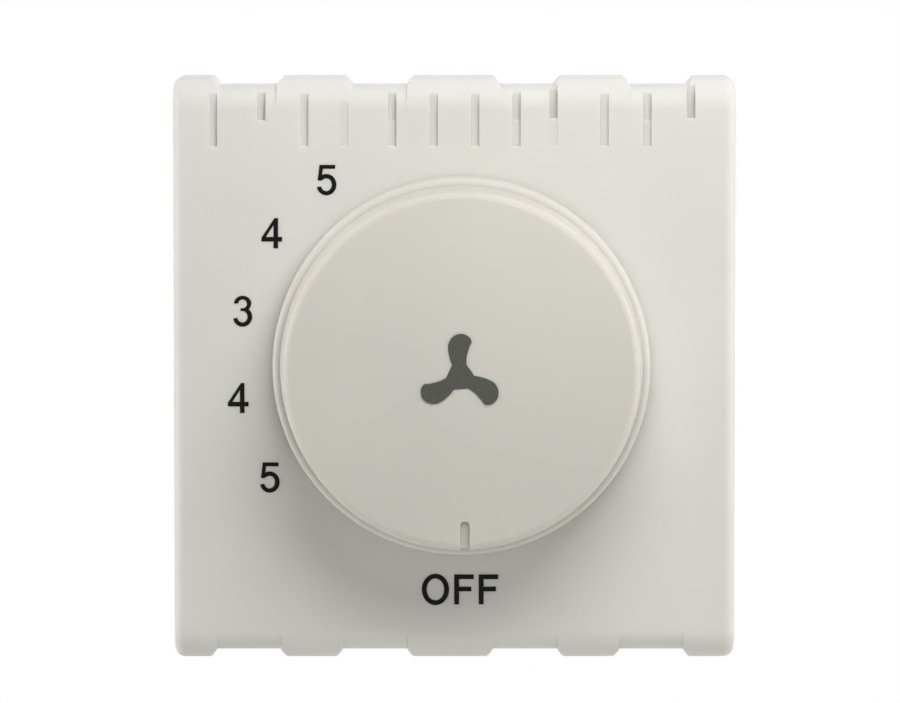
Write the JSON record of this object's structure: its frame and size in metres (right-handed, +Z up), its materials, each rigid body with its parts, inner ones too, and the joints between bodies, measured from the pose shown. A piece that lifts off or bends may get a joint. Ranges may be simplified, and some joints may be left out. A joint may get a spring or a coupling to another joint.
{
  "type": "fan speed control switch",
  "caption": "Modular wall fan speed control: round stepped knob on a castellated plate, snap-in rear housing, step switch, circuit board and screw wire terminals.",
  "frame": {"origin": "middle of the front plate's rear rim, the face that seats on the wall frame", "axes": "+X right seen from the front, +Y into the wall, +Z up"},
  "size_m": [0.044, 0.0467, 0.0458],
  "materials": {
    "cover_plastic": "moulded polycarbonate, warm white, satin",
    "knob_plastic": "moulded polycarbonate, warm white, satin",
    "housing_plastic": "moulded polycarbonate, warm white, fine grain",
    "spring_steel": "blued spring strip",
    "spindle_brass": "turned",
    "rotor_acetal": "moulded natural acetal",
    "contact_bronze": "stamped phosphor bronze",
    "switch_phenolic": "moulded phenolic",
    "zinc_steel": "stamped, zinc plated",
    "rivet_aluminium": "set rivet",
    "contact_brass": "stamped, tinned tails",
    "board_laminate": "phenolic paper laminate",
    "capacitor_case": "moulded case",
    "resistor_lacquer": "lacquered",
    "surge_lacquer": "flameproof lacquer",
    "terminal_brass": "extruded, sawn",
    "screw_steel": "turned, zinc plated"
  },
  "bodies": {
    "base": {"front_plate": "cover_plastic", "rear_housing": "housing_plastic", "detent_spring": "spring_steel", "switch_base": "switch_phenolic", "switch_cover": "zinc_steel", "upper_switch_rivet": "rivet_aluminium", "lower_switch_rivet": "rivet_aluminium", "common_contact": "contact_brass", "circuit_board": "board_laminate", "upper_capacitor": "capacitor_case", "lower_capacitor": "capacitor_case", "bleed_resistor_left": "resistor_lacquer", "bleed_resistor_right": "resistor_lacquer", "surge_resistor": "surge_lacquer", "speed_contact_1": "contact_brass", "speed_contact_2": "contact_brass", "speed_contact_3": "contact_brass", "speed_contact_4": "contact_brass", "speed_contact_5": "contact_brass", "line_terminal": "terminal_brass", "line_lead": "contact_brass", "load_terminal": "terminal_brass", "load_lead": "contact_brass"},
    "knob": {"knob": "knob_plastic", "knob_grip_ring": "spring_steel", "spindle": "spindle_brass", "rotor": "rotor_acetal", "wiper": "contact_bronze"},
    "line_screw": {"line_terminal_screw": "screw_steel"},
    "load_screw": {"load_terminal_screw": "screw_steel"}
  },
  "joints": [
    {"name": "knob_turn", "type": "hinge", "parent": "base", "child": "knob", "pos_m": [0.00055, -0.0075, 0.00048], "axis": [0, 1, 0], "range_deg": [0, 144], "deforming": ["detent_spring"]},
    {"name": "line_screw_travel", "type": "slide", "parent": "base", "child": "line_screw", "axis": [0, -1, 0], "range_m": [0, 0.0026]},
    {"name": "load_screw_travel", "type": "slide", "parent": "base", "child": "load_screw", "axis": [0, -1, 0], "range_m": [0, 0.0026]}
  ]
}
